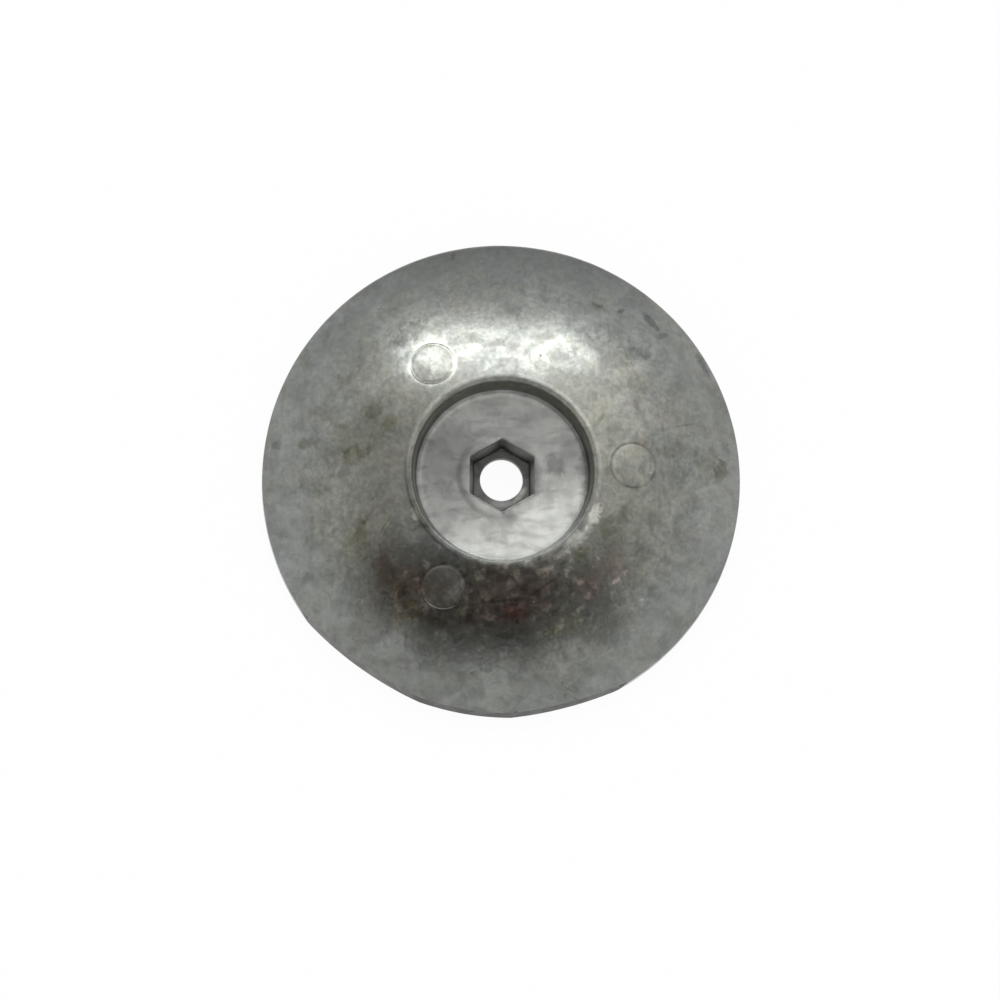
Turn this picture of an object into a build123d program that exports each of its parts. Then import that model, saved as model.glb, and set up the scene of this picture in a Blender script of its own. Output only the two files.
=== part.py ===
from build123d import *

import os
from math import cos, hypot, radians, sqrt, tan

# Disc-shaped sacrificial anode for a boat's rudder or trim tab.
#
# One pressure die casting in zinc alloy: a shallow dome with a flat back, a round bolt recess in
# its crown, a tapered hexagonal seat sunk in the recess floor, which stops an M6 nut or bolt head
# from turning, and a clearance bore through the thin web left under the seat.  The die leaves its
# marks on it: three round ejector pads on the dome, a raised ring round the seat where the core pin
# was let into the die, and a long shallow land on the rim where the wide gate was ground off.
#
# Frame: millimetres, +Z out of the dome along the bore, Z = 0 on the flat back face, which lies
# against the rudder.  +Y points over a corner of the hexagonal seat.

# ---- Driving sizes, in millimetres and degrees ------------------------------------------------

# Disc and dome
DISC_DIAMETER = 90.0
RIM_HEIGHT = 3.0                # where the dome meets the rim wall, before the edge is rounded
RIM_DRAFT = 4.0
RIM_EDGE_RADIUS = 1.0
CROWN_HEIGHT = 13.6             # where the dome meets the recess wall, before rounding

# Round bolt recess in the crown
RECESS_FLOOR_DIAMETER = 32.1
RECESS_FLOOR_HEIGHT = 7.4
RECESS_DRAFT = 6.0
RECESS_MOUTH_RADIUS = 1.1
RECESS_CORNER_RADIUS = 0.5

# Hexagonal seat for an M6 nut or bolt head, and the bore under it
NUT_ACROSS_FLATS = 10.0
NUT_CLEARANCE = 0.2             # across the flats, at the bottom of the seat
SEAT_DRAFT = 8.0
SEAT_MOUTH_RADIUS = 0.3
WEB_THICKNESS = 2.0             # metal between the seat and the back face
BORE_DIAMETER = 8.0

# Raised mark of the core pin round the seat
CORE_MARK_MARGIN = 1.25         # from the corners of the seat to the middle of the mark's bevel
CORE_MARK_RISE = 0.08
CORE_MARK_BEVEL = 1.3           # width of the bevel round the mark

# Ejector pads on the dome
PAD_COUNT = 3
PAD_DIAMETER = 8.2
PAD_GAP = 3.3                   # in plan, from the recess mouth to the nearest point of a pad
PAD_RISE = 0.12
PAD_FIRST_ANGLE = 3.0

# Land on the rim where the gate was ground off, in three strokes of the wheel.  The face that each
# stroke leaves is rounder than a flat and flatter than the rim, and leans in towards the dome.
GROUND_STROKES = (
    {"angle": 237.0, "half_span": 17.0, "depth": 0.95},     # span and depth at the back face
    {"angle": 256.0, "half_span": 24.0, "depth": 0.62},
    {"angle": 283.0, "half_span": 12.5, "depth": 0.67},
)
LAND_LEAN = 0.5                 # how much deeper a stroke is at the rim's height

# ---- Sizes that follow from them ---------------------------------------------------------------

DISC_RADIUS = DISC_DIAMETER / 2
RIM_TOP_RADIUS = DISC_RADIUS - RIM_HEIGHT * tan(radians(RIM_DRAFT))

RECESS_FLOOR_RADIUS = RECESS_FLOOR_DIAMETER / 2
RECESS_DEPTH = CROWN_HEIGHT - RECESS_FLOOR_HEIGHT
MOUTH_RADIUS = RECESS_FLOOR_RADIUS + RECESS_DEPTH * tan(radians(RECESS_DRAFT))

# The dome is part of a sphere centred on the bore's axis, through the recess mouth and the rim.
DOME_CENTRE_HEIGHT = (
    MOUTH_RADIUS**2 + CROWN_HEIGHT**2 - RIM_TOP_RADIUS**2 - RIM_HEIGHT**2
) / (2 * (CROWN_HEIGHT - RIM_HEIGHT))
DOME_RADIUS = hypot(RIM_TOP_RADIUS, RIM_HEIGHT - DOME_CENTRE_HEIGHT)

CORE_MARK_HEIGHT = RECESS_FLOOR_HEIGHT + CORE_MARK_RISE
SEAT_DEPTH = CORE_MARK_HEIGHT - WEB_THICKNESS
SEAT_FLOOR_FLATS = NUT_ACROSS_FLATS + NUT_CLEARANCE
SEAT_MOUTH_FLATS = SEAT_FLOOR_FLATS + 2 * SEAT_DEPTH * tan(radians(SEAT_DRAFT))
CORE_MARK_RADIUS = SEAT_MOUTH_FLATS / 2 / cos(radians(30)) + CORE_MARK_MARGIN

PAD_RADIUS = PAD_DIAMETER / 2
PAD_CENTRE_RADIUS = MOUTH_RADIUS + PAD_GAP + PAD_RADIUS

BOTTOM_UP = (Align.CENTER, Align.CENTER, Align.MIN)


def dome_height(radius):
    """Height of the dome above the back face, at a distance from the axis."""
    return DOME_CENTRE_HEIGHT + sqrt(DOME_RADIUS**2 - radius**2)


def round_corner(section, point, radius):
    """Round the section's corner at an (r, z) point."""
    corner = section.vertices().sort_by_distance(point)[0]
    return fillet(corner, radius)


def domed_disc():
    """Back, rim, dome and recess, turned from their half section."""
    rim_top = (RIM_TOP_RADIUS, RIM_HEIGHT)
    mouth = (MOUTH_RADIUS, CROWN_HEIGHT)
    floor_edge = (RECESS_FLOOR_RADIUS, RECESS_FLOOR_HEIGHT)
    middle_radius = (RIM_TOP_RADIUS + MOUTH_RADIUS) / 2

    outline = Polyline((0, 0), (DISC_RADIUS, 0), rim_top)
    outline += ThreePointArc(rim_top, (middle_radius, dome_height(middle_radius)), mouth)
    outline += Polyline(mouth, floor_edge, (0, RECESS_FLOOR_HEIGHT), (0, 0))
    section = make_face(outline)
    section = round_corner(section, rim_top, RIM_EDGE_RADIUS)
    section = round_corner(section, mouth, RECESS_MOUTH_RADIUS)
    section = round_corner(section, floor_edge, RECESS_CORNER_RADIUS)
    return revolve(Plane.XZ * section, Axis.Z)


def ejector_pads():
    """Round pads that follow the dome a little above it, as the ejector pins' ends do."""
    column_height = DOME_CENTRE_HEIGHT + DOME_RADIUS + PAD_RISE - RIM_HEIGHT
    column = Cylinder(PAD_RADIUS, column_height, align=BOTTOM_UP)
    raised_dome = Pos(0, 0, DOME_CENTRE_HEIGHT) * Sphere(DOME_RADIUS + PAD_RISE)
    places = Rot(0, 0, PAD_FIRST_ANGLE) * PolarLocations(PAD_CENTRE_RADIUS, PAD_COUNT)
    return [place * Pos(0, 0, RIM_HEIGHT) * column & raised_dome for place in places]


def core_mark():
    """Low round boss with a bevelled edge that the end of the core pin's bush leaves on the recess
    floor."""
    foot, top = CORE_MARK_RADIUS + CORE_MARK_BEVEL / 2, CORE_MARK_RADIUS - CORE_MARK_BEVEL / 2
    return Pos(0, 0, RECESS_FLOOR_HEIGHT) * Cone(foot, top, CORE_MARK_RISE, align=BOTTOM_UP)


def nut_seat():
    """Space of the hexagonal seat: the nut's size at the web, and wider towards its mouth."""
    floor = RegularPolygon(SEAT_FLOOR_FLATS / 2, 6, major_radius=False, rotation=30)
    return extrude(Pos(0, 0, WEB_THICKNESS) * floor, SEAT_DEPTH, taper=-SEAT_DRAFT)


def ground_stroke(angle, half_span, depth):
    """Space inside the face that one stroke leaves: a cone wider than the disc, set back from the
    bore's axis so that it cuts the rim over the stroke's span alone.  Its seam is on the far side."""
    set_back = depth / (1 - cos(radians(half_span)))
    radius = DISC_RADIUS - depth + set_back
    low, high = -RIM_HEIGHT, CROWN_HEIGHT + RIM_HEIGHT
    lean = LAND_LEAN / RIM_HEIGHT
    cone = Cone(radius - low * lean, radius - high * lean, high - low, align=BOTTOM_UP)
    return Rot(0, 0, angle + 180) * Pos(set_back, 0, low) * cone


def anode_casting():
    """The whole casting."""
    casting = domed_disc() + core_mark()
    for pad in ejector_pads():
        casting += pad
    casting -= nut_seat()
    casting -= Cylinder(BORE_DIAMETER / 2, RECESS_FLOOR_HEIGHT, align=BOTTOM_UP)
    for stroke in GROUND_STROKES:
        casting &= ground_stroke(**stroke)

    # The core pin's mark is the highest flat face, and the seat's mouth is the hole in it.
    mark_top = casting.faces().filter_by(Plane.XY).sort_by(Axis.Z)[-1]
    seat_mouth = mark_top.inner_wires()[0]
    return fillet(seat_mouth.edges(), SEAT_MOUTH_RADIUS)


os.makedirs("parts", exist_ok=True)
export_step(anode_casting(), "parts/anode_casting.step")
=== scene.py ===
from math import asin, cos, degrees, pi, radians, sin, sqrt, tan

import bmesh
import bpy
from mathutils import Matrix, Vector


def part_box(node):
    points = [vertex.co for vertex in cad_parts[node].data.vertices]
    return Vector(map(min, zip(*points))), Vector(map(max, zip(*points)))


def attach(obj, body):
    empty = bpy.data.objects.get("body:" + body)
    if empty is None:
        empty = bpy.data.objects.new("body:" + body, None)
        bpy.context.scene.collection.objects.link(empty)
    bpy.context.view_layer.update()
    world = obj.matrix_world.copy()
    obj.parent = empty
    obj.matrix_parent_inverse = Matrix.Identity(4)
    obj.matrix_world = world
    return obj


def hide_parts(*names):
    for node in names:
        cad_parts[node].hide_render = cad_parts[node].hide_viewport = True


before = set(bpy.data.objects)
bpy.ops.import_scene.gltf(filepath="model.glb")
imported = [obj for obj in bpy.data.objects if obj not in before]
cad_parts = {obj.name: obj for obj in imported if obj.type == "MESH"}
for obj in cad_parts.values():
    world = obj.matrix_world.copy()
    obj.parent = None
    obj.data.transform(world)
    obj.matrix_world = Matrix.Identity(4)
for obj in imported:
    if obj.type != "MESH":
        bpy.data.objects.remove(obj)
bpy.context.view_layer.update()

MM = 0.001

# ---- The anode casting --------------------------------------------------------------------------
# One disc of zinc alloy, pressure die-cast in a single shot, that bolts to a rudder blade by the
# hexagonal seat and clearance bore in its bolt recess.  The die leaves three ejector pads, a raised
# ring round the seat and a parting edge at the flat back, and the gate is ground off the rim.

DISC_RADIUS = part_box("anode_casting")[1].x          # from the upper corner of the casting's box
RIM_HEIGHT = 3.0 * MM
RIM_DRAFT = radians(4)
RIM_EDGE_RADIUS = 1.0 * MM
CROWN_HEIGHT = 13.6 * MM
RECESS_FLOOR_RADIUS = 16.05 * MM
RECESS_FLOOR_HEIGHT = 7.4 * MM
RECESS_DRAFT = radians(6)
RECESS_MOUTH_RADIUS = 1.1 * MM
RECESS_CORNER_RADIUS = 0.5 * MM
SEAT_HALF_FLATS = 5.1 * MM
SEAT_DRAFT = radians(8)
SEAT_MOUTH_RADIUS = 0.3 * MM
SEAT_CORNER_RADIUS = 0.15 * MM
WEB_THICKNESS = 2.0 * MM
BORE_RADIUS = 4.0 * MM
CORE_MARK_MARGIN = 1.25 * MM
CORE_MARK_RISE = 0.08 * MM
CORE_MARK_BEVEL = 1.3 * MM
BACK_EDGE_RADIUS = 0.12 * MM
HEXAGON_SHARE = cos(radians(30))          # of a hexagon's corner radius, the radius to its flats

# the mesh: points along a flat of the seat, and rings along each stretch and rounding of the section
POINTS_PER_FLAT = 88
SEAT_RINGS, SEAT_MOUTH_RINGS = 6, 4
CORE_MARK_RINGS = 10
FLOOR_RINGS, CORNER_RINGS = 14, 7
WALL_RINGS, MOUTH_RINGS = 8, 8
DOME_RINGS, RIM_EDGE_RINGS = 68, 7
RIM_RINGS, BACK_EDGE_RINGS = 6, 2
BACK_RINGS, BORE_RINGS = 14, 3

rim_foot = Vector((DISC_RADIUS, 0))
rim_top = Vector((DISC_RADIUS - RIM_HEIGHT * tan(RIM_DRAFT), RIM_HEIGHT))
recess_corner = Vector((RECESS_FLOOR_RADIUS, RECESS_FLOOR_HEIGHT))
recess_depth = CROWN_HEIGHT - RECESS_FLOOR_HEIGHT
recess_mouth = recess_corner + Vector((recess_depth * tan(RECESS_DRAFT), recess_depth))
mark_height = RECESS_FLOOR_HEIGHT + CORE_MARK_RISE
seat_foot = Vector((SEAT_HALF_FLATS, WEB_THICKNESS))
seat_mouth = Vector((SEAT_HALF_FLATS + (mark_height - WEB_THICKNESS) * tan(SEAT_DRAFT), mark_height))
core_mark_radius = seat_mouth.x / HEXAGON_SHARE + CORE_MARK_MARGIN
dome_centre = Vector((0, (
    (recess_mouth.length_squared - rim_top.length_squared) / (2 * (CROWN_HEIGHT - RIM_HEIGHT))
)))
dome_radius = (rim_top - dome_centre).length


def straight(start, end, steps):
    """Points after start, evenly along a straight stretch of the section."""
    return [start.lerp(end, i / steps) for i in range(1, steps + 1)]


def arc(centre, start, end, steps):
    """Points from start to end along an arc of the section, both included."""
    turn = (end - centre).angle_signed(start - centre)
    return [centre + Matrix.Rotation(turn * i / steps, 2) @ (start - centre) for i in range(steps + 1)]


def slope_share(way):
    """Height of a smooth slope that rises from 0 to 1 while way goes from 0 to 1."""
    return way * way * (3 - 2 * way)


def rounded_corner(before, corner, after, radius, steps):
    """The arc that rounds a corner between two straight stretches of the section."""
    back = (before - corner).normalized()
    ahead = (after - corner).normalized()
    half_angle = back.angle(ahead) / 2
    centre = corner + (back + ahead).normalized() * radius / sin(half_angle)
    reach = radius / tan(half_angle)
    return arc(centre, corner + back * reach, corner + ahead * reach, steps)


def rounded_dome_edge(foot, top, metal_side, radius, steps):
    """The arc from a wall onto the dome; metal_side is 1 where the metal is outside the wall."""
    up = (top - foot).normalized()
    into_metal = Vector((up.y, -up.x)) * metal_side
    offset = foot + into_metal * radius - dome_centre
    along = offset.dot(up)
    climb = sqrt(along**2 - offset.length_squared + (dome_radius - radius) ** 2) - along
    centre = foot + into_metal * radius + up * climb
    on_dome = centre + (centre - dome_centre).normalized() * radius
    return arc(centre, centre - into_metal * radius, on_dome, steps)


def draw_rings(points, foot=Vector((0, 0, 0)), axis=Vector((0, 0, 1))):
    """Extrudes the selected ring from the first point through the others: each is a distance from
    the axis and a height along it."""
    for here, there in zip(points, points[1:]):
        bpy.ops.mesh.extrude_region_move(TRANSFORM_OT_translate={"value": axis * (there[1] - here[1])})
        growth = there[0] / here[0]
        bpy.ops.transform.resize(value=(growth, growth, growth), center_override=foot + axis * there[1])


def select_only(parts, wanted):
    """Selects the vertices, edges or faces of the mesh being edited that pass the test, and no others."""
    bpy.ops.mesh.select_all(action="DESELECT")
    for part in getattr(bmesh.from_edit_mesh(bpy.context.object.data), parts):
        if wanted(part):
            part.select_set(True)


bpy.ops.object.select_all(action="DESELECT")
seat_corner = SEAT_HALF_FLATS / HEXAGON_SHARE
bpy.ops.mesh.primitive_circle_add(vertices=6, radius=seat_corner, location=(0, 0, WEB_THICKNESS))
bpy.ops.object.transform_apply(location=True)
casting = bpy.context.object
casting.name = "zinc_casting"
bpy.ops.object.mode_set(mode="EDIT")
bpy.ops.mesh.select_all(action="SELECT")
bpy.ops.mesh.bevel(offset=SEAT_CORNER_RADIUS, segments=3, affect="VERTICES")
select_only("edges", lambda edge: edge.calc_length() > SEAT_HALF_FLATS / 2)
bpy.ops.mesh.subdivide(number_cuts=POINTS_PER_FLAT)
bpy.ops.mesh.select_all(action="SELECT")

# the seat's walls and their rounded mouth, still a hexagon
seat_mouth_side = seat_mouth + Vector((1, 0))
mouth_rounding = rounded_corner(seat_foot, seat_mouth, seat_mouth_side, SEAT_MOUTH_RADIUS, SEAT_MOUTH_RINGS)
draw_rings([seat_foot] + straight(seat_foot, mouth_rounding[0], SEAT_RINGS) + mouth_rounding[1:])

# a circle half way to the bevel of the raised ring, and the bevel
bevel_start = core_mark_radius - CORE_MARK_BEVEL / 2
circle_radius = (mouth_rounding[-1].x / HEXAGON_SHARE + bevel_start) / 2
bpy.ops.mesh.extrude_region_move()
bpy.ops.transform.tosphere(value=1, center_override=(0, 0, mark_height))
found_radius = next(v.co.xy.length for v in bmesh.from_edit_mesh(casting.data).verts if v.select)
growth = circle_radius / found_radius
bpy.ops.transform.resize(value=(growth, growth, growth), center_override=(0, 0, mark_height))
bevel_ways = [i / CORE_MARK_RINGS for i in range(CORE_MARK_RINGS + 1)]
mark_edge = [
    Vector((bevel_start + CORE_MARK_BEVEL * way, mark_height - CORE_MARK_RISE * slope_share(way)))
    for way in bevel_ways
]
draw_rings([Vector((circle_radius, mark_height))] + mark_edge)

# the recess floor, its corner and wall, and the dome from the recess mouth to the rim
mark_foot = mark_edge[-1]
floor_rounding = rounded_corner(mark_foot, recess_corner, recess_mouth, RECESS_CORNER_RADIUS, CORNER_RINGS)
draw_rings([mark_foot] + straight(mark_foot, floor_rounding[0], FLOOR_RINGS) + floor_rounding[1:])
wall_foot = floor_rounding[-1]
dome_inner_edge = rounded_dome_edge(recess_corner, recess_mouth, 1, RECESS_MOUTH_RADIUS, MOUTH_RINGS)
draw_rings([wall_foot] + straight(wall_foot, dome_inner_edge[0], WALL_RINGS) + dome_inner_edge[1:])
dome_outer_edge = rounded_dome_edge(rim_foot, rim_top, -1, RIM_EDGE_RADIUS, RIM_EDGE_RINGS)[::-1]
draw_rings(arc(dome_centre, dome_inner_edge[-1], dome_outer_edge[0], DOME_RINGS) + dome_outer_edge[1:])

# the rim wall, the broken edge of the back, the flat back, the bore and the seat's floor
bore_foot = Vector((BORE_RADIUS, 0))
bore_top = Vector((BORE_RADIUS, WEB_THICKNESS))
wall_top = dome_outer_edge[-1]
back_rounding = rounded_corner(rim_top, rim_foot, bore_foot, BACK_EDGE_RADIUS, BACK_EDGE_RINGS)
draw_rings([wall_top] + straight(wall_top, back_rounding[0], RIM_RINGS) + back_rounding[1:])
draw_rings([back_rounding[-1]] + straight(back_rounding[-1], bore_foot, BACK_RINGS))
draw_rings([bore_foot] + straight(bore_foot, bore_top, BORE_RINGS))
select_only("edges", lambda edge: edge.is_boundary)
bpy.ops.mesh.bridge_edge_loops()
bpy.ops.mesh.select_all(action="SELECT")
bpy.ops.mesh.normals_make_consistent(inside=False)

# three ejector pads, each a little tipped and ringed by a shallow crease, set into holes in the dome
PAD_RADIUS = 4.1 * MM
PAD_GAP = 3.3 * MM
PAD_RISES = (0.03 * MM, 0.012 * MM, 0.02 * MM)
PAD_FIRST_ANGLE = radians(3)
PAD_TIP = radians(0.45)
PAD_BEVEL = 0.8 * MM
PAD_POINTS = 120
PAD_EDGE_STEPS = 6
PAD_TOP_RINGS = 6
CREASE_STEPS = 4
CREASE_WIDTH = 0.35 * MM
CREASE_SHARE = 0.33                       # the crease's depth, as a share of the pad's rise
HOLE_MARGIN = 0.45 * MM
pad_centre_radius = recess_mouth.x + PAD_GAP + PAD_RADIUS


def dome_fall(distance):
    """How far the dome has dropped below its tangent plane at a distance from the touching point."""
    return dome_radius - sqrt(dome_radius**2 - distance**2)


def pad_point(radius, rise):
    """A point of a pad's section, at a radius from the pad's axis and a height above the dome."""
    return Vector((radius, rise - dome_fall(radius)))


crease_radius = PAD_RADIUS + CREASE_WIDTH
for number, rise in enumerate(PAD_RISES):
    depth = rise * CREASE_SHARE
    crease_ways = [i / CREASE_STEPS for i in range(CREASE_STEPS + 1)]
    edge_ways = [i / PAD_EDGE_STEPS for i in range(1, PAD_EDGE_STEPS + 1)]
    top_ways = [i / PAD_TOP_RINGS for i in range(1, PAD_TOP_RINGS)]
    crease = [pad_point(crease_radius - CREASE_WIDTH * way, -depth * slope_share(way)) for way in crease_ways]
    pad_edge = [pad_point(PAD_RADIUS - PAD_BEVEL * way, (rise + depth) * slope_share(way) - depth)
                for way in edge_ways]
    pad_top = [pad_point((PAD_RADIUS - PAD_BEVEL) * (1 - way), rise) for way in top_ways]
    pad_angle = PAD_FIRST_ANGLE + number * 2 * pi / len(PAD_RISES)
    slope = asin(pad_centre_radius / dome_radius)
    upright = Vector((sin(slope) * cos(pad_angle), sin(slope) * sin(pad_angle), cos(slope)))
    pad_centre = Vector((0, 0, dome_centre.y)) + upright * dome_radius
    hole_radius = crease_radius + HOLE_MARGIN
    bpy.ops.mesh.select_mode(type="FACE")
    select_only("faces", lambda face: (face.calc_center_median() - pad_centre).length < hole_radius)
    bpy.ops.mesh.delete(type="FACE")
    bpy.ops.mesh.select_mode(type="EDGE")
    crease_place = pad_centre + upright * crease[0].y
    bpy.ops.mesh.primitive_circle_add(vertices=PAD_POINTS, radius=crease_radius, location=crease_place,
                                      rotation=(0, slope, pad_angle))
    select_only("edges", lambda edge: not edge.is_manifold)
    bpy.ops.mesh.bridge_edge_loops()
    select_only("edges", lambda edge: edge.is_boundary)
    draw_rings(crease, pad_centre, upright)
    bpy.ops.transform.rotate(value=PAD_TIP, orient_axis="X", center_override=pad_centre)
    draw_rings([crease[-1]] + pad_edge + pad_top, pad_centre, upright)
    bpy.ops.mesh.edge_face_add()
    bpy.ops.mesh.poke()
bpy.ops.mesh.select_all(action="SELECT")
bpy.ops.mesh.normals_make_consistent(inside=False)
bpy.ops.object.mode_set(mode="OBJECT")

# the wide gate is ground off in three strokes, whose faces lean in and are flatter than the rim
GROUND_STROKES = (                        # angle of the middle, half the span, and the depth
    (radians(237), radians(17), 0.95 * MM),
    (radians(256), radians(24), 0.62 * MM),
    (radians(283), radians(12.5), 0.67 * MM),
)
LAND_LEAN = 0.5 * MM / RIM_HEIGHT         # how far the faces lean in for each unit of height
STROKE_POINTS = 720
ground_face = bpy.data.materials.new("zinc_ground_face")
zinc_skin = bpy.data.materials.new("zinc_cast_skin")
casting.data.materials.append(zinc_skin)


def keep_within(body, limits):
    """Takes off what is outside the limits, and removes them; new faces get the limits' material."""
    bpy.context.view_layer.objects.active = body
    cut = body.modifiers.new("cut", "BOOLEAN")
    cut.object = limits
    cut.operation = "INTERSECT"
    cut.material_mode = "TRANSFER"
    bpy.ops.object.modifier_apply(modifier=cut.name)
    bpy.data.objects.remove(limits)


for angle, half_span, depth in GROUND_STROKES:
    bpy.ops.object.select_all(action="DESELECT")
    set_back = depth / (1 - cos(half_span))
    radius = DISC_RADIUS - depth + set_back
    low, high = -RIM_HEIGHT, CROWN_HEIGHT + RIM_HEIGHT
    place = Vector((-set_back * cos(angle), -set_back * sin(angle), (low + high) / 2))
    bpy.ops.mesh.primitive_cone_add(vertices=STROKE_POINTS, radius1=radius - low * LAND_LEAN,
                                    radius2=radius - high * LAND_LEAN, depth=high - low, location=place)
    bpy.ops.object.transform_apply(location=True)
    inside_stroke = bpy.context.object
    inside_stroke.data.materials.append(ground_face)
    keep_within(casting, inside_stroke)

# the skin is a little uneven from the die, with a few shallow sinks and dings
WAVES = ((11.0 * MM, 0.065 * MM), (3.2 * MM, 0.014 * MM), (1.3 * MM, 0.003 * MM))   # width and depth
for width, depth in WAVES:
    swell = bpy.data.textures.new("swell", "CLOUDS")
    swell.noise_scale = width
    uneven = casting.modifiers.new("uneven", "DISPLACE")
    uneven.texture = swell
    uneven.texture_coords = "LOCAL"
    uneven.mid_level = 1
    uneven.strength = depth
    bpy.ops.object.modifier_apply(modifier=uneven.name)

DINGS = (                                 # place on the dome, radius and depth, in millimetres
    (17.5, 32.5, 0.6, 0.05), (22.4, 31.5, 0.8, 0.06), (29.1, 29.0, 1.4, 0.09), (26.8, 23.6, 1.5, 0.08),
    (38.0, 20.6, 0.9, 0.08), (38.5, 3.1, 1.3, 0.07), (17.8, 9.9, 0.8, 0.05), (-37.0, 5.6, 0.9, 0.06),
    (-32.1, 2.3, 0.7, 0.06), (-28.0, 3.2, 1.1, 0.10), (-27.7, -8.0, 0.9, 0.08), (-25.3, -9.7, 0.9, 0.07),
)
DING_REACH = 1.3                          # how far the metal is pressed in, in radii of the ding


def dome_point(x, y):
    return Vector((x, y, dome_centre.y + sqrt(dome_radius**2 - x**2 - y**2)))


bpy.ops.object.select_all(action="DESELECT")
casting.select_set(True)
bpy.context.view_layer.objects.active = casting
bpy.ops.object.mode_set(mode="EDIT")
bpy.ops.mesh.select_mode(type="VERT")
for x, y, radius, depth in DINGS:
    spot = dome_point(x * MM, y * MM)
    mesh = bmesh.from_edit_mesh(casting.data)
    nearest = min(mesh.verts, key=lambda vertex: (vertex.co - spot).length_squared).index
    select_only("verts", lambda vertex: vertex.index == nearest)
    bpy.ops.transform.translate(value=(0, 0, -depth * MM), use_proportional_edit=True,
                                proportional_edit_falloff="SMOOTH",
                                proportional_size=radius * DING_REACH * MM)
bpy.ops.object.mode_set(mode="OBJECT")
bpy.ops.object.shade_smooth_by_angle(angle=radians(35))

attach(casting, "root")
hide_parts("anode_casting")

# The skin is bare zinc under a thin grey bloom of oxide: warm and olive round the recess, bluer at
# the rim, with duller patches, pits, a few dark stains, and smears where the metal flowed.  Over it
# are painted highlights and painted shade: in the recess, round its mouth, on the pads, on the rim
# wall and low on the dome.


def shader_node(tree, kind, inputs=None, **settings):
    """Adds a shader node, sets its options, and fills or links the sockets named in inputs."""
    made = tree.nodes.new("ShaderNode" + kind)
    for name, value in settings.items():
        setattr(made, name, value)
    for name, value in (inputs or {}).items():
        if isinstance(value, bpy.types.NodeSocket):
            tree.links.new(value, made.inputs[name])
        else:
            made.inputs[name].default_value = value
    return made


def maths(tree, operation, first, second=0.0, third=0.0):
    inputs = {0: first, 1: second, 2: third}
    return shader_node(tree, "Math", inputs, operation=operation).outputs[0]


def scaled(tree, vector, factor):
    return shader_node(tree, "VectorMath", {0: vector, "Scale": factor}, operation="SCALE").outputs[0]


def ramp(tree, value, low, high, to_low=0.0, to_high=1.0):
    inputs = {"Value": value, "From Min": low, "From Max": high, "To Min": to_low, "To Max": to_high}
    return shader_node(tree, "MapRange", inputs, interpolation_type="SMOOTHSTEP").outputs["Result"]


def mixed_colour(tree, share, first, second, blend="MIX"):
    made = shader_node(tree, "Mix", data_type="RGBA", blend_type=blend)
    sockets = {"Factor_Float": share, "A_Color": first, "B_Color": second}
    for socket in made.inputs:
        value = sockets.get(socket.identifier)
        if isinstance(value, bpy.types.NodeSocket):
            tree.links.new(value, socket)
        elif value is not None:
            socket.default_value = value
    return next(socket for socket in made.outputs if socket.identifier == "Result_Color")


def new_effect(name, **inputs):
    """Starts a node group with named inputs, each given as (kind, value): the group and its inputs."""
    group = bpy.data.node_groups.new(name, "ShaderNodeTree")
    for label, (kind, value) in inputs.items():
        socket = group.interface.new_socket(label, in_out="INPUT", socket_type="NodeSocket" + kind)
        socket.default_value = value
    return group, group.nodes.new("NodeGroupInput").outputs


def put_out(group, **outputs):
    """Ends a node group with its named outputs, each given as (kind, socket inside)."""
    for label, (kind, socket) in outputs.items():
        group.interface.new_socket(label, in_out="OUTPUT", socket_type="NodeSocket" + kind)
    end = group.nodes.new("NodeGroupOutput")
    for label, (kind, socket) in outputs.items():
        group.links.new(socket, end.inputs[label])


def effect(tree, group, **inputs):
    """Places a node group in a material, with its own values."""
    return shader_node(tree, "Group", inputs, node_tree=group).outputs


# soft-edged patches about Size millimetres wide, drawn out into smears, over a Share of the surface
patches, given = new_effect("soft_patches", Place=("Vector", (0, 0, 0)), Size=("Float", 5),
                            Smear=("Float", 0.5), Detail=("Float", 1.5), Share=("Float", 0.5),
                            Softness=("Float", 0.1))
cloud = shader_node(patches, "TexNoise", {
    "Vector": given["Place"], "Scale": maths(patches, "DIVIDE", 1.0, given["Size"]),
    "Detail": given["Detail"], "Roughness": 0.5, "Distortion": given["Smear"],
}).outputs["Fac"]
middle = ramp(patches, given["Share"], 0.0, 1.0, 0.72, 0.28)
mask = ramp(patches, cloud, maths(patches, "SUBTRACT", middle, given["Softness"]),
            maths(patches, "ADD", middle, given["Softness"]))
put_out(patches, Mask=("Float", mask))

# round spots of uneven size, Spacing millimetres apart, some of them missing
spots, given = new_effect("scattered_spots", Place=("Vector", (0, 0, 0)), Spacing=("Float", 2),
                          Radius=("Float", 0.2), Missing=("Float", 0.5))
cells = shader_node(spots, "TexVoronoi", {
    "Vector": given["Place"], "Scale": maths(spots, "DIVIDE", 1.0, given["Spacing"]),
})
chance = shader_node(spots, "SeparateColor", {0: cells.outputs["Color"]})
spot_radius = maths(spots, "MULTIPLY", given["Radius"], chance.outputs[0])
soft_from = maths(spots, "MULTIPLY", spot_radius, 0.5)
mask = ramp(spots, cells.outputs["Distance"], soft_from, spot_radius, 1.0, 0.0)
mask = maths(spots, "MULTIPLY", mask, maths(spots, "GREATER_THAN", chance.outputs[1], given["Missing"]))
put_out(spots, Mask=("Float", mask))


zinc_skin.use_nodes = True
tree = zinc_skin.node_tree
zinc = tree.nodes["Principled BSDF"]
zinc.inputs["Metallic"].default_value = 1
IN_MM = (1 / MM, 1 / MM, 1 / MM)
place = shader_node(tree, "TexCoord").outputs["Object"]
place = shader_node(tree, "Mapping", {"Vector": place, "Scale": IN_MM}).outputs[0]
apart = shader_node(tree, "SeparateXYZ", {0: place})
flat_place = shader_node(tree, "CombineXYZ", {0: apart.outputs["X"], 1: apart.outputs["Y"]}).outputs[0]
from_axis = shader_node(tree, "VectorMath", {0: flat_place}, operation="LENGTH").outputs["Value"]
height_up = apart.outputs["Z"]


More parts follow.
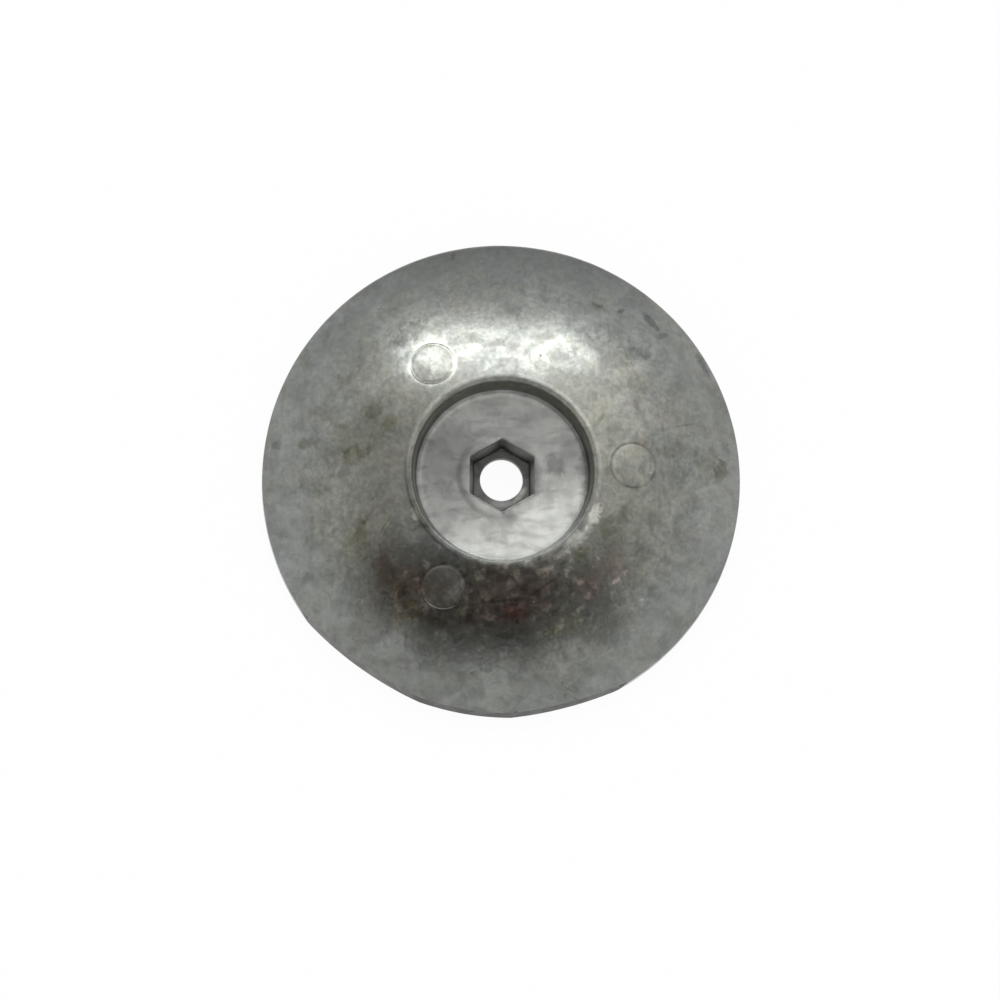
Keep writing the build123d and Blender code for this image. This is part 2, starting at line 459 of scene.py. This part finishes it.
def patch_mask(size, smear=0.5, share=0.5, softness=0.1, detail=1.5, where=place):
    return effect(tree, patches, Place=where, Size=size, Smear=smear, Share=share, Softness=softness,
                  Detail=detail)[0]


def spot_mask(spacing, radius, missing, where=place):
    return effect(tree, spots, Place=where, Spacing=spacing, Radius=radius, Missing=missing)[0]


def both(first, second):
    return maths(tree, "MULTIPLY", first, second)


def times(colour, mask, tint):
    """Multiplies the colour by the tint where the mask is 1."""
    return mixed_colour(tree, mask, colour, (*tint, 1), "MULTIPLY")


def toned(colour, mask, level):
    """Multiplies the colour by a grey level where the mask is 1."""
    return times(colour, mask, (level, level, level))


def beyond(start, end):
    """0 nearer to the axis than start and 1 further than end, in millimetres."""
    return ramp(tree, from_axis, start, end)


def within(start, end):
    """1 nearer to the axis than start and 0 further than end, in millimetres."""
    return ramp(tree, from_axis, start, end, 1.0, 0.0)


def below(start, end):
    """1 lower than start and 0 higher than end, in millimetres."""
    return ramp(tree, height_up, start, end, 1.0, 0.0)


# where each part of the skin lies, with soft borders a few tenths of a millimetre wide
rim, rim_height = DISC_RADIUS / MM, RIM_HEIGHT / MM
mouth, seat_reach = recess_mouth.x / MM, seat_mouth.x / HEXAGON_SHARE / MM
floor_side, floor_height = RECESS_FLOOR_RADIUS / MM, RECESS_FLOOR_HEIGHT / MM
on_front = ramp(tree, height_up, 0.3, 0.9)
on_rim_wall = both(beyond(rim - 0.9, rim - 0.5), below(rim_height - 0.4, rim_height + 0.1))
inside_recess = both(within(floor_side + 0.15, floor_side + 0.85), below(floor_height + 1, floor_height + 2))
recess_wall = both(beyond(floor_side - 0.85, floor_side - 0.25), within(mouth + 0.9, mouth + 1.8))
recess_wall = both(recess_wall, on_front)
wall_below_mouth = both(recess_wall, within(mouth - 0.25, mouth + 0.1))
floor_edge = both(beyond(floor_side - 1.55, floor_side - 0.85), within(floor_side - 0.15, floor_side + 0.15))
floor_edge = both(floor_edge, on_front)
mouth_inner = both(both(beyond(mouth - 0.3, mouth - 0.1), within(mouth + 0.3, mouth + 0.6)), on_front)
mouth_outer = both(both(beyond(mouth + 0.3, mouth + 0.6), within(mouth + 1.2, mouth + 1.8)), on_front)
outside_recess = both(beyond(mouth + 0.4, mouth + 0.8), on_front)
inside_seat = both(within(seat_reach + 0.2, seat_reach + 0.5), below(floor_height - 0.3, floor_height))
worked_belt = both(within(rim - 12, rim - 4), on_front)   # the die's rim is the smoothest
ragged = maths(tree, "SUBTRACT", patch_mask(1.6, 0.8, softness=0.28), 0.5)


def blot(middle, radii, turn=0.0, edge=0.8):
    """1 in the middle of an oval on the front, and 0 outside its ragged edge; in millimetres."""
    oval = shader_node(tree, "Mapping", {
        "Vector": flat_place, "Location": (*middle, 0), "Rotation": (0, 0, radians(turn)),
        "Scale": (2 * radii[0], 2 * radii[1], 1),
    }, vector_type="TEXTURE").outputs[0]
    nearness = shader_node(tree, "TexGradient", {0: oval}, gradient_type="SPHERICAL").outputs["Fac"]
    nearness = maths(tree, "MULTIPLY_ADD", ragged, -edge / 2, nearness)
    return both(ramp(tree, nearness, 0.35, 0.75), on_front)


# the skin's own colours
CREST_COLOUR = (0.290, 0.294, 0.261, 1)
RIM_COLOUR = (0.264, 0.274, 0.261, 1)
OLIVE_TINT = (1.006, 1.0, 0.975)
SLATE_TINT = (0.994, 1.0, 1.012)
PURPLE_TINT = (1.025, 0.985, 0.985)
colour = mixed_colour(tree, ramp(tree, from_axis, 24, 43), CREST_COLOUR, RIM_COLOUR)
hue_patches = patch_mask(8.0, 0.9, softness=0.08, detail=1.0)
colour = mixed_colour(tree, hue_patches, times(colour, 1.0, OLIVE_TINT), times(colour, 1.0, SLATE_TINT))
colour = times(colour, patch_mask(5.0, 1.2, share=0.25, softness=0.06), PURPLE_TINT)

# duller and brighter patches, small dark spots and light specks, strongest inside the rim
broad_dull = patch_mask(7.0, 0.7, share=0.5, softness=0.11, detail=2.5)
small_dull = patch_mask(2.3, 0.5, share=0.45, softness=0.11, detail=2.5)
streaks_place = shader_node(tree, "Mapping", {"Vector": place, "Rotation": (0, 0, radians(25)),
                                              "Scale": (1, 0.3, 1)}).outputs[0]
streaks = patch_mask(1.2, 0.6, share=0.35, softness=0.08, where=streaks_place)
dark_spots = both(spot_mask(3.4, 0.15, 0.72, where=scaled(tree, place, 0.94)), on_front)
pits = both(spot_mask(1.5, 0.14, 0.80, where=scaled(tree, place, 0.94)), on_front)
light_specks = both(spot_mask(1.9, 0.13, 0.80, where=scaled(tree, place, 1.07)), worked_belt)
mottle = patch_mask(0.9, 0.4, share=0.5, softness=0.09, detail=2.0)
grime_place = scaled(tree, place, 1.13)
grime = both(patch_mask(8.0, 0.8, share=0.3, softness=0.07, where=grime_place),
             patch_mask(1.9, 0.8, share=0.3, softness=0.07, where=grime_place))
rim_share = maths(tree, "MULTIPLY_ADD", worked_belt, 0.4, 0.6)
colour = toned(colour, broad_dull, 0.85)
colour = toned(colour, both(small_dull, rim_share), 0.81)
colour = toned(colour, both(mottle, rim_share), 0.86)
colour = toned(colour, both(streaks, rim_share), 0.90)
colour = times(colour, both(grime, on_front), (0.76, 0.75, 0.70))
colour = times(colour, dark_spots, (0.72, 0.72, 0.70))
colour = toned(colour, pits, 0.75)
colour = times(colour, light_specks, (1.25, 1.25, 1.22))

# the recess: its floor painted bright on one side and dull on the other, as painted light and
# shade, the seat painted dark as painted shade, and the rim wall painted dark as painted shade
PAINTED_LIGHT_WAY = 290                          # the side of the recess floor that is painted bright, as painted light
PAINTED_LIGHT_REACH = 14                         # and how far from the axis it is brightest, in millimetres


def share_towards(angle, reach):
    """0 at the axis and 1 at a reach from it to one side, and below 0 on the other side."""
    way = (cos(radians(angle)) / reach, sin(radians(angle)) / reach, 0)
    return shader_node(tree, "VectorMath", {0: flat_place, 1: way}, operation="DOT_PRODUCT").outputs["Value"]


recess_way = maths(tree, "MULTIPLY_ADD", ragged, 0.12, share_towards(PAINTED_LIGHT_WAY, PAINTED_LIGHT_REACH))
recess_level = ramp(tree, recess_way, 0.1, 1.0, 0.93, 1.98)
# lighter and darker places on the recess floor, added to its painted light; the dark one by the right-hand
# wall is painted shade
RECESS_BLOTS = (                          # middle, radii, turn in degrees, ragged edge, and change of level
    ((-11.0, 4.0), (8.5, 7.0), 0, 0.4, -0.30), ((18.6, 1.0), (4.2, 10.0), 0, 0.15, -0.50),
    ((6.0, -7.7), (5.5, 1.5), 25, 0.5, 0.18), ((-0.8, -9.5), (3.4, 3.6), 0, 0.4, -0.20),
)
for middle, radii, turn, edge, change in RECESS_BLOTS:
    blotted = maths(tree, "MULTIPLY_ADD", blot(middle, radii, turn, edge), change, 1.0)
    recess_level = both(recess_level, blotted)
flow_place = shader_node(tree, "Mapping", {"Vector": place, "Rotation": (0, 0, radians(35)),
                                           "Scale": (0.35, 1, 1)}).outputs[0]
flow_marks = patch_mask(1.7, 0.5, share=0.4, softness=0.12, where=flow_place)
recess_level = both(recess_level, maths(tree, "MULTIPLY_ADD", flow_marks, -0.22, 1.075))
recess_level = both(recess_level, maths(tree, "MULTIPLY_ADD", both(small_dull, broad_dull), -0.10, 1.0))
RECESS_COLOUR = (0.233, 0.236, 0.2235)
recess_grey = shader_node(tree, "CombineColor", {channel: recess_level for channel in range(3)}).outputs[0]
recess_colour = times(recess_grey, 1.0, RECESS_COLOUR)
colour = mixed_colour(tree, inside_recess, colour, recess_colour)
# parts painted lighter on one side and darker on another, as painted highlight and painted shade
SIDE_PAINTED_LIGHT = (                            # part, side in degrees, the fade's start and end, and tint
    (floor_edge, 135, -0.1, 0.7, (1.30, 1.30, 1.30)), (mouth_outer, 250, 0.0, 0.7, (0.66, 0.66, 0.66)),
    (mouth_outer, 75, 0.1, 0.8, (1.35, 1.35, 1.38)), (mouth_outer, 225, 0.2, 1.0, (0.62, 0.62, 0.62)),
    (mouth_inner, 275, 0.3, 0.95, (2.40, 2.42, 2.62)), (wall_below_mouth, 90, 0.4, 0.9, (1.15, 1.15, 1.15)),
)
for part, side, low, high, tint in SIDE_PAINTED_LIGHT:
    on_side = ramp(tree, share_towards(side, mouth + 0.8), low, high)
    colour = times(colour, both(part, on_side), tint)
# the upper part of the recess wall, painted lighter as painted light
colour = times(colour, both(wall_below_mouth, ramp(tree, height_up, 8.0, 13.0)), (1.6, 1.6, 1.57))
# the seat painted dark, as painted shade, its lower side painted lighter, as painted light, and a lighter
# warm spot at the bore's lower right
colour = toned(colour, inside_seat, 0.60)
colour = toned(colour, both(inside_seat, blot((0.2, -4.5), (2.4, 0.8), edge=0.3)), 1.45)
colour = times(colour, both(inside_seat, blot((3.5, -2.8), (1.6, 0.65), 52, edge=0.4)), (2.3, 2.25, 2.1))
# the rim wall painted dark, as painted shade
colour = toned(colour, on_rim_wall, 0.5)

# stains and scuffs, with painted highlights (the strongly lightening marks round the recess mouth,
# on the raised ring, beside the first pad and low on the dome) and painted shade (the dark marks at
# the recess floor's right-hand edge and beside the first pad's highlight); middle, radii, turn in
# degrees, and tint
STAINS_AND_PAINTED_LIGHT = (
    ((-17.5, -20.8), (3.4, 3.2), 0, (1.06, 0.93, 0.88)), ((2.4, -26.4), (2.7, 1.7), 0, (0.98, 0.71, 0.7)),
    ((-18, -26), (2.8, 2.4), 0, (1.06, 0.99, 0.86)), ((15.8, -21.3), (3, 3.2), 0, (1.1, 0.96, 0.94)),
    ((2, -22.9), (7.6, 4.4), 8, (1.09, 0.96, 0.95)), ((21.7, -13), (4.8, 3.6), -20, (0.84, 0.84, 0.8)),
    ((-21.8, -19), (2, 4.4), 10, (0.72, 0.66, 0.6)), ((20.2, -17.4), (3.2, 3), 20, (1.12, 1, 1.02)),
    ((-13.6, -27.2), (4.5, 0.9), -14, (0.74, 0.74, 0.68)), ((10.5, -28), (5.5, 3.4), 10, (1, 1, 0.92)),
    ((0.7, -30.2), (2.2, 0.7), 0, (0.66, 0.66, 0.62)), ((8.8, -29.6), (1.8, 0.6), 10, (0.72, 0.73, 0.64)),
    ((14.4, -15.4), (1.8, 1.4), 30, (0.72, 0.72, 0.64)), ((19, -10.6), (1.6, 1.9), 20, (0.74, 0.74, 0.7)),
    ((24.5, -17.6), (4.2, 3.2), 0, (0.88, 0.88, 0.86)), ((40.9, 1.2), (1.4, 2.8), 0, (0.66, 0.66, 0.62)),
    ((38.5, 2.5), (3.4, 2.6), 60, (0.8, 0.79, 0.74)), ((31, 4), (2.4, 1.1), 0, (0.8, 0.79, 0.74)),
    ((17.7, 32.5), (1.3, 0.5), -20, (0.66, 0.66, 0.66)),
    ((22.4, 31.5), (1.1, 0.6), 20, (0.62, 0.62, 0.62)), ((28, 29.6), (2.4, 0.7), -48, (0.62, 0.63, 0.64)),
    ((30.2, 27), (1.3, 0.8), 30, (0.62, 0.63, 0.64)), ((27.2, 23.5), (0.8, 2.2), -15, (0.66, 0.67, 0.68)),
    ((24.5, 22.6), (2, 1.4), 20, (0.7, 0.71, 0.71)), ((37.9, 21.8), (0.7, 2.8), 25, (0.66, 0.66, 0.66)),
    ((9.9, 2.2), (2.4, 1.8), -10, (0.68, 0.68, 0.68)), ((18, 9.8), (0.5, 1.8), -35, (0.68, 0.68, 0.66)),
    ((-24, 11.4), (2.3, 1.6), 15, (0.72, 0.72, 0.66)), ((-21.2, 8.4), (1.2, 2), 0, (0.78, 0.77, 0.7)),
    ((-27.6, 3), (2.6, 1.5), 30, (0.72, 0.71, 0.64)), ((-26.5, 7), (5.5, 3.4), 10, (0.86, 0.86, 0.82)),
    ((-36.4, 6), (1.6, 1.3), 0, (0.76, 0.76, 0.7)), ((-42.1, 5.9), (1, 0.8), 0, (0.7, 0.7, 0.68)),
    ((-25.7, -10.1), (1.3, 2.6), 10, (0.8, 0.79, 0.72)), ((-29.6, 17.5), (1.2, 1.6), 0, (0.8, 0.8, 0.76)),
    ((-31.6, -19.3), (1.8, 0.9), 0, (0.82, 0.82, 0.78)),
    ((-35.9, -19.1), (1.6, 0.8), 20, (0.84, 0.84, 0.81)),
    ((1.6, 30.3), (2.4, 2.2), 0, (0.82, 0.82, 0.82)), ((-17.4, 26.6), (3.8, 2), 30, (0.62, 0.62, 0.62)),
    ((14.4, 26.2), (3.4, 2.4), -30, (0.72, 0.72, 0.72)), ((-11, -17), (6, 3.2), -35, (0.97, 1.01, 1.05)),
    ((-23.8, -13.2), (2.6, 2), 0, (1.16, 1.16, 1.16)), ((-15.9, -12.8), (1.8, 1.6), 0, (1.2, 1.2, 1.24)),
    ((-12.2, -31.1), (4.6, 2), -10, (1.14, 1.14, 1.14)),
    ((-17.7, -23.4), (1.4, 2.8), 35, (0.7, 0.66, 0.62)),
    ((-6.7, -27.4), (2.6, 1.9), 0, (0.8, 0.76, 0.74)), ((5.5, 36), (1.6, 4.4), 0, (1.12, 1.12, 1.12)),
    ((-23.6, 16.2), (2.8, 3), 0, (1.12, 1.12, 1.12)), ((24.2, 21), (3.4, 1.6), 40, (1.12, 1.12, 1.12)),
    ((22.9, 10.6), (3.4, 2.4), 0, (1.07, 1.07, 1.07)), ((-3, -5.3), (3.5, 0.32), -30, (0.66, 0.66, 0.66)),
    ((3, -5.3), (3.5, 0.3), 30, (0.8, 0.8, 0.8)), ((-8.9, -22.3), (1.1, 2.4), -38, (1.6, 1.62, 1.64)),
    ((-13.3, -24.9), (1.5, 0.22), -38, (1.6, 1.6, 1.6)), ((27.4, 0), (0.35, 0.35), 0, (1.7, 1.7, 1.7)),
    ((25.8, 0.3), (0.8, 0.9), 0, (0.86, 0.86, 0.86)), ((16.6, -8.7), (2.4, 1.1), 60, (2.2, 2.2, 2.3)),
    ((13.4, -13), (3.4, 1.2), 44, (1.8, 1.79, 1.8)), ((22, -8.5), (2.6, 1.2), 60, (0.82, 0.82, 0.78)),
    ((-27, -13.5), (2.4, 3.4), 10, (0.88, 0.87, 0.8)), ((-16.2, -8.3), (0.6, 1.3), 25, (1.9, 1.9, 1.8)),
    ((14.9, -6.6), (4.6, 1.6), 66, (0.84, 0.84, 0.84)), ((-4.2, 6.6), (2.2, 0.45), 31, (1.2, 1.2, 1.2)),
    ((9, -3.8), (1.8, 1.4), 0, (0.84, 0.84, 0.84)),
)
for middle, radii, turn, tint in STAINS_AND_PAINTED_LIGHT:
    colour = times(colour, blot(middle, radii, turn), tint)

# each pad's top and crease are painted lighter or darker than the skin round them, as painted
# highlight and painted shade
PAD_PAINTED_LIGHT = ((1.12, 0.66, 0.35), (0.78, 1.50, 0.70), (1.30, 0.74, 0.35))   # top, crease, and its width
for number, (top_tint, crease_tint, spread) in enumerate(PAD_PAINTED_LIGHT):
    pad_angle = PAD_FIRST_ANGLE + number * 2 * pi / len(PAD_RISES)
    pad_x = pad_centre_radius / MM * cos(pad_angle)
    pad_y = pad_centre_radius / MM * sin(pad_angle)
    from_pad = shader_node(tree, "VectorMath", {0: flat_place, 1: (pad_x, pad_y, 0)}, operation="DISTANCE")
    from_pad = from_pad.outputs["Value"]
    on_pad = both(ramp(tree, from_pad, PAD_RADIUS / MM - 0.5, PAD_RADIUS / MM, 1.0, 0.0), on_front)
    off_crease = maths(tree, "SUBTRACT", from_pad, (PAD_RADIUS + CREASE_WIDTH / 3) / MM)
    in_crease = ramp(tree, maths(tree, "ABSOLUTE", off_crease), spread / 4, spread, 1.0, 0.0)
    in_crease = both(both(in_crease, on_front), maths(tree, "MULTIPLY_ADD", small_dull, 0.5, 0.5))
    colour = toned(colour, on_pad, top_tint)
    colour = toned(colour, in_crease, crease_tint)

# low on the dome, where it reflects the person's dark shape: blotched dark, with light specks and
# patches that are painted glints
blotched_zone = both(blot((-0.5, -22.0), (20.0, 8.0), edge=1.0), outside_recess)
blotched_zone = both(blotched_zone, maths(tree, "MULTIPLY_ADD", on_pad, -0.7, 1.0))   # less blotched on its own pad
zone_glint_specks = both(spot_mask(1.1, 0.36, 0.55), blotched_zone)
zone_place = scaled(tree, place, 1.3)
zone_patches = both(patch_mask(2.1, 0.2, share=0.45, softness=0.12, detail=3.0, where=zone_place), blotched_zone)
zone_painted_glints = both(patch_mask(1.7, 0.1, share=0.40, softness=0.10, detail=4.0, where=scaled(tree, place, 0.9)),
                  blotched_zone)
colour = times(colour, zone_glint_specks, (1.30, 1.29, 1.26))
colour = times(colour, zone_patches, (0.56, 0.54, 0.54))
colour = times(colour, zone_painted_glints, (1.95, 1.94, 1.92))
SCRATCHES = (                             # middle, radii, turn in degrees
    ((-21.9, -10.4), (2.6, 0.10), 58), ((-21.2, -10.8), (2.2, 0.08), 60), ((0.5, -24.0), (4.2, 0.26), 5),
    ((7.3, -21.5), (3.8, 0.26), 33), ((33.9, 9.5), (2.6, 0.10), 12), ((-24.0, -5.2), (1.6, 0.09), 40),
    ((14.5, 25.2), (1.3, 0.10), 80),
)
scratches = 0.0
for middle, radii, turn in SCRATCHES:
    scratches = maths(tree, "MAXIMUM", blot(middle, radii, turn, edge=0.3), scratches)
colour = toned(colour, scratches, 0.64)
tree.links.new(colour, zinc.inputs["Base Color"])

# how much rougher than clean metal each mark is, and how high it stands, in millimetres
CLEAN_ROUGHNESS = 0.18
any_spot = maths(tree, "MAXIMUM", dark_spots, pits)
ROUGHER = ((broad_dull, 0.05), (small_dull, 0.04), (any_spot, 0.20), (recess_wall, 0.24),
           (inside_recess, 0.08), (inside_seat, 0.20))
RISES = ((small_dull, -0.004), (streaks, -0.002), (dark_spots, -0.012), (pits, -0.012), (zone_painted_glints, 0.004))
rough = CLEAN_ROUGHNESS
for mark, more in ROUGHER:
    rough = maths(tree, "MULTIPLY_ADD", mark, more, rough)
skin_height = 0.0
for mark, rise in RISES:
    skin_height = maths(tree, "MULTIPLY_ADD", mark, rise, skin_height)
tree.links.new(rough, zinc.inputs["Roughness"])
bump = shader_node(tree, "Bump", {"Height": skin_height, "Distance": 1 * MM, "Strength": 1.0})
tree.links.new(bump.outputs[0], zinc.inputs["Normal"])

# the ground face of the rim: painted dark, as painted shade where it faces the floor beside it, matt,
# with fine lines that run along the rim, and brighter towards one end
GROUND_COLOUR = (0.082, 0.082, 0.079, 1)
LINE_COLOUR = (0.062, 0.062, 0.059, 1)
LINE_STRETCH = 9                          # how much longer the lines are than high
ground_face.use_nodes = True
tree = ground_face.node_tree
zinc = tree.nodes["Principled BSDF"]
zinc.inputs["Metallic"].default_value = 1
place = shader_node(tree, "TexCoord").outputs["Object"]
along_rim = shader_node(tree, "Mapping", {
    "Vector": place, "Scale": (1 / MM / LINE_STRETCH, 1 / MM / LINE_STRETCH, 1 / MM),
}).outputs[0]
place = shader_node(tree, "Mapping", {"Vector": place, "Scale": IN_MM}).outputs[0]
lines = patch_mask(0.16, 0.0, softness=0.2, detail=3.0, where=along_rim)
dull = patch_mask(2.6, 0.8, softness=0.15, where=place)
colour = mixed_colour(tree, lines, GROUND_COLOUR, LINE_COLOUR)
colour = toned(colour, dull, 0.85)
across = shader_node(tree, "SeparateXYZ", {0: place}).outputs["X"]
colour = toned(colour, ramp(tree, across, -15.0, -22.0), 1.9)
tree.links.new(colour, zinc.inputs["Base Color"])
tree.links.new(maths(tree, "MULTIPLY_ADD", dull, 0.08, 0.42), zinc.inputs["Roughness"])
bump = shader_node(tree, "Bump", {"Height": maths(tree, "MULTIPLY", lines, 0.008), "Distance": 1 * MM})
tree.links.new(bump.outputs[0], zinc.inputs["Normal"])

# ---- The floor ----------------------------------------------------------------------------------
# A plain pale sheet that the disc lies on.  It shows as white, and keeps the disc's soft shadow.

FLOOR_SIDE = 4.0
FLOOR_WHITE = 0.95                        # share of plain white where the camera or the metal sees it

bpy.ops.object.select_all(action="DESELECT")
bpy.ops.mesh.primitive_plane_add(size=FLOOR_SIDE)
floor = bpy.context.object
floor.name = "floor"
floor_paint = bpy.data.materials.new("floor_white")
floor_paint.use_nodes = True
tree = floor_paint.node_tree
paint = tree.nodes["Principled BSDF"]
paint.inputs["Base Color"].default_value = (0.9, 0.9, 0.9, 1)
paint.inputs["Roughness"].default_value = 0.9
glow = shader_node(tree, "Emission", {"Strength": 1.0})
seen = shader_node(tree, "LightPath")
either = shader_node(tree, "Math", {0: seen.outputs["Is Camera Ray"], 1: seen.outputs["Is Glossy Ray"]},
                     operation="MAXIMUM")
share = shader_node(tree, "Math", {0: either.outputs[0], 1: FLOOR_WHITE}, operation="MULTIPLY")
mixed = shader_node(tree, "MixShader", {0: share.outputs[0], 1: paint.outputs[0], 2: glow.outputs[0]})
tree.links.new(mixed.outputs[0], tree.nodes["Material Output"].inputs["Surface"])
floor.data.materials.append(floor_paint)

# ---- The light ----------------------------------------------------------------------------------
# A pale room with a broad soft window beyond the disc, duller and paler walls to its sides, and the
# dark shape of a person who leans over it.  They all show as reflections in the dome.

ROOM_LEVEL_OVERHEAD = 0.90
ROOM_LEVEL_LOW = 0.98
LIGHT_PATCHES = (                         # in degrees from overhead: middle, half size, soft edge; colour
    ((10.2, 4.0), (9.6, 14.3), 2.5, (2.0, 2.0, 2.0)),                # the ceiling above the disc
    ((23.5, 22.0), (14.5, 9.0), 2.5, (1.4, 1.4, 1.4)),               # a pale corner beside the window
    ((-24.0, -1.3), (15.0, 26.0), 3.0, (0.66, 0.66, 0.66)),          # the duller wall on the left
    ((16.0, -22.0), (17.0, 12.4), 2.5, (0.22, 0.22, 0.22)),          # the person's arm
    ((-4.7, -31.7), (18.0, 8.2), 2.0, (0.029, 0.026, 0.0245)),       # the person's body
    ((-9.7, -19.3), (25.1, 11.0), 2.5, (0.130, 0.113, 0.106)),       # the person's shoulders and hands
    ((30.5, 35.0), (8.4, 9.7), 3.0, (1.65, 1.65, 1.65)),             # the window's curtain
    ((-0.6, 41.3), (23.4, 5.2), 2.8, (6.5, 6.7, 7.0)),               # the window
    ((-8.5, 41.3), (5.5, 4.4), 2.8, (5.3, 5.45, 5.7)),               # its duller pane
    ((0.0, 73.0), (45.0, 12.0), 9.0, (0.605, 0.61, 0.62)),           # the wall under the window
    ((62.0, -5.0), (14.0, 22.0), 8.0, (1.05, 1.05, 1.05)),           # the wall on the right
    ((-62.0, 5.0), (14.0, 22.0), 8.0, (1.0, 1.0, 1.0)),              # the wall on the left, lower down
)

world = bpy.data.worlds.new("studio")
bpy.context.scene.world = world
world.use_nodes = True
tree = world.node_tree
background = tree.nodes["Background"]
direction = shader_node(tree, "TexCoord").outputs["Generated"]
upward = shader_node(tree, "SeparateXYZ", {0: direction}).outputs["Z"]
from_overhead = maths(tree, "MULTIPLY", maths(tree, "ARCCOSINE", upward), degrees(1))
level = shader_node(tree, "VectorMath", {0: direction, 1: (1, 1, 0)}, operation="MULTIPLY").outputs[0]
heading = shader_node(tree, "VectorMath", {0: level}, operation="NORMALIZE").outputs[0]
chart = shader_node(tree, "SeparateXYZ", {0: scaled(tree, heading, from_overhead)})


def soft_patch(middle, half_size, soft_edge):
    """1 inside a rectangle of the chart of directions, and 0 outside it, with a soft edge."""
    inside = 1.0
    for axis in range(2):
        away = maths(tree, "ABSOLUTE", maths(tree, "SUBTRACT", chart.outputs[axis], middle[axis]))
        edge = ramp(tree, away, half_size[axis] - soft_edge, half_size[axis] + soft_edge, 1.0, 0.0)
        inside = maths(tree, "MULTIPLY", edge, inside)
    return inside


room_colour = shader_node(tree, "CombineXYZ", {
    axis: ramp(tree, from_overhead, 30, 75, ROOM_LEVEL_OVERHEAD, ROOM_LEVEL_LOW) for axis in range(3)
}).outputs[0]
for middle, half_size, soft_edge, patch_colour in LIGHT_PATCHES:
    mask = soft_patch(middle, half_size, soft_edge)
    room_colour = mixed_colour(tree, mask, room_colour, (*patch_colour, 1))
tree.links.new(room_colour, background.inputs["Color"])

# ---- The camera ---------------------------------------------------------------------------------
# It looks down on the dome from a little in front of the disc and from 0.6 m away, turned so that
# two corners of the seat point straight up and down in view.

PICTURE_SIDE = 1000                       # pixels
PIXELS_PER_MM = 5.316                     # at the level of the back face
DISC_CENTRE_PIXEL = (501.15, 481.3)
CAMERA_DISTANCE = 600 * MM
CAMERA_TILT = radians(8.8)                # from straight above
CAMERA_SIDE = radians(260)                # the side of the disc that the camera leans to

camera_data = bpy.data.cameras.new("camera")
camera_data.lens = PIXELS_PER_MM / MM * CAMERA_DISTANCE / PICTURE_SIDE * camera_data.sensor_width
camera = bpy.data.objects.new("camera", camera_data)
bpy.context.scene.collection.objects.link(camera)
bpy.context.scene.camera = camera
bpy.context.scene.view_settings.view_transform = "Standard"

lean = sin(CAMERA_TILT)
backwards = Vector((lean * cos(CAMERA_SIDE), lean * sin(CAMERA_SIDE), cos(CAMERA_TILT)))
rightwards = Vector((0, 1, 0)).cross(backwards).normalized()
upwards = backwards.cross(rightwards)
disc_right = (DISC_CENTRE_PIXEL[0] - PICTURE_SIDE / 2) / PIXELS_PER_MM * MM
disc_up = (PICTURE_SIDE / 2 - DISC_CENTRE_PIXEL[1]) / PIXELS_PER_MM * MM
camera_place = backwards * CAMERA_DISTANCE - rightwards * disc_right - upwards * disc_up
camera_turn = Matrix((rightwards, upwards, backwards)).transposed().to_4x4()
camera.matrix_world = Matrix.Translation(camera_place) @ camera_turn

bpy.context.view_layer.update()
